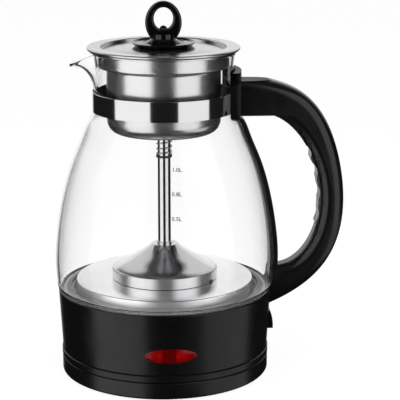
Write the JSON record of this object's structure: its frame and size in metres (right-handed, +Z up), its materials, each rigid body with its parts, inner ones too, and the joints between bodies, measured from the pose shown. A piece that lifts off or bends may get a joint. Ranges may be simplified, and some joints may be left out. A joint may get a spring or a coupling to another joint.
{
  "type": "automatic tea maker",
  "caption": "Steam-spray tea maker: glass jug with black D handle on a heater base, lift-off power base, steel tea basket, steam bell and tube, and a lid with a ring knob.",
  "frame": {"origin": "on the jug's axis, at the level that the rubber feet rest on", "axes": "+Z up, +X to the handle, -X to the pouring beak, -Y to the indicator lamp, +Y to the cord outlet"},
  "size_m": [0.2076, 0.1624, 0.2682],
  "materials": {
    "aluminium": "rolled aluminium",
    "brass": "brass",
    "handle_black": "satin black moulded plastic",
    "housing_black": "glossy black moulded plastic",
    "inner_plastic": "matt black moulded plastic",
    "insert_black": "soft black insert with finger grooves",
    "jug_glass": "clear borosilicate glass",
    "neon": "small neon capsule",
    "red_lens": "translucent red, faceted inside",
    "rubber_black": "matt rubber",
    "screw_steel": "plated steel",
    "shell_black": "glossy black moulded plastic",
    "silicone_clear": "translucent silicone",
    "steel_brushed": "fine brushed stainless steel",
    "steel_plate": "satin stainless steel",
    "steel_polished": "mirror polished stainless steel",
    "white_plastic": "white heat resistant plastic"
  },
  "bodies": {
    "power_base": {"power_base_shell": "shell_black", "power_base_plate": "inner_plastic", "base_feet": "rubber_black", "base_screws": "screw_steel", "base_connector": "inner_plastic", "base_contacts": "brass", "cord_gland": "rubber_black"},
    "jug": {"heater_housing": "housing_black", "jug_bottom_cover": "housing_black", "housing_screws": "screw_steel", "jug_connector": "inner_plastic", "jug_contacts": "brass", "heater_plate": "steel_plate", "heat_diffuser": "aluminium", "heating_element": "screw_steel", "thermal_fuse": "white_plastic", "thermostat_disc": "steel_brushed", "thermostat_body": "white_plastic", "glass_jug": "jug_glass", "glass_seal": "silicone_clear", "neck_band": "steel_polished", "band_screw": "screw_steel", "band_liner": "silicone_clear", "handle_body": "handle_black", "handle_insert": "insert_black", "handle_strip": "handle_black", "handle_screws": "screw_steel", "indicator_lens": "red_lens", "lamp_holder": "white_plastic", "indicator_lamp": "neon", "switch_case": "inner_plastic", "switch_pin": "screw_steel"},
    "switch": {"switch_paddle": "shell_black"},
    "basket": {"filter_basket": "steel_brushed", "basket_bush": "rubber_black", "tube_spring": "steel_polished"},
    "spray_column": {"steam_tube": "steel_polished", "spring_seat": "rubber_black", "spray_cap": "steel_brushed", "steam_bell": "steel_polished", "bell_collar": "steel_polished"},
    "lid": {"lid_disc": "steel_polished", "lid_plug": "steel_brushed", "lid_knob": "handle_black", "lid_screw": "screw_steel", "lid_washer": "screw_steel"}
  },
  "joints": [
    {"name": "jug_lift", "type": "slide", "parent": "power_base", "child": "jug", "axis": [0, 0, 1], "range_m": [0, 0.08]},
    {"name": "switch_rock", "type": "hinge", "parent": "jug", "child": "switch", "pos_m": [0.07056, 0, 0.0355], "axis": [0, 1, 0], "range_deg": [0, 16]},
    {"name": "basket_lift", "type": "slide", "parent": "jug", "child": "basket", "axis": [0, 0, 1], "range_m": [0, 0.18]},
    {"name": "column_rise", "type": "slide", "parent": "basket", "child": "spray_column", "axis": [0, 0, 1], "range_m": [0, 0.004], "stiffness_N_per_m": 250, "springref_m": -0.006, "deforming": ["tube_spring"]},
    {"name": "lid_lift", "type": "slide", "parent": "basket", "child": "lid", "axis": [0, 0, 1], "range_m": [0, 0.05]}
  ]
}
